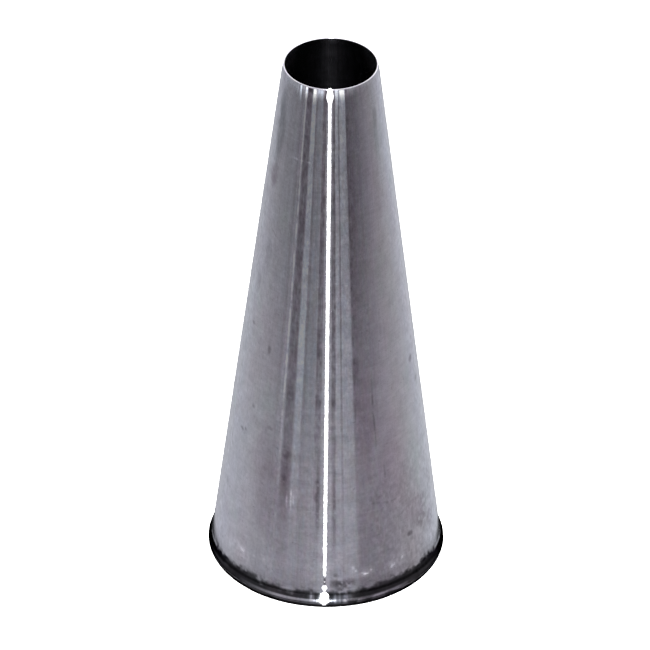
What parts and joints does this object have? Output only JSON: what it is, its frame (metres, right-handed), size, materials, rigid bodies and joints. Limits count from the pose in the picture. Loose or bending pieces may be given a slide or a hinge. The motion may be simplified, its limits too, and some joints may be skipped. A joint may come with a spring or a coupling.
{
  "type": "plain round piping nozzle",
  "caption": "Tall tapered sheet-metal piping nozzle with a plain round mouth, a straight welded seam and a curled rim at the wide end.",
  "frame": {"origin": "centre of the ring the nozzle stands on, at the wide end", "axes": "+Z along the nozzle's axis from the wide end to the mouth, -Y towards the seam, +X to the right when the seam is in front"},
  "size_m": [0.0252, 0.0252, 0.061],
  "materials": {
    "sheet": "drawn along the cone's length, satin, with faint rolling bands and light handling marks",
    "rim": "curled and rubbed, brighter on its crest",
    "weld": "bright dressed weld bead"
  },
  "bodies": {
    "root": {"cone_wall": "sheet", "rim_curl": "rim", "seam_weld": "weld"}
  },
  "joints": []
}
